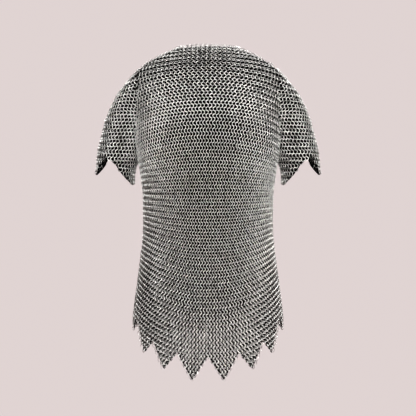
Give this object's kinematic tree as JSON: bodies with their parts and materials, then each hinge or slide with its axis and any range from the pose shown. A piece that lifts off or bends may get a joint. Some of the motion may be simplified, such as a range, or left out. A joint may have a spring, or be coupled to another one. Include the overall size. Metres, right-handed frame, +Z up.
{
  "type": "chainmail hauberk",
  "caption": "Short-sleeved mail shirt of linked round-wire rings, hollow as worn, with a pointed dagged hem, plain round neck and open angled cuffs.",
  "frame": {"origin": "middle of the shoulder line, between the two neck points, where the wearer's shoulders hold the shirt up", "axes": "+Z up, the front of the shirt faces -Y and its back +Y, the wearer's left is +X; the YZ plane is the plane of symmetry"},
  "size_m": [0.595, 0.338, 0.8459],
  "materials": {
    "mail": "round wire rings, butted, dull polish"
  },
  "bodies": {
    "root": {"back": "mail", "front": "mail", "sleeve_left": "mail", "sleeve_right": "mail"}
  },
  "joints": []
}
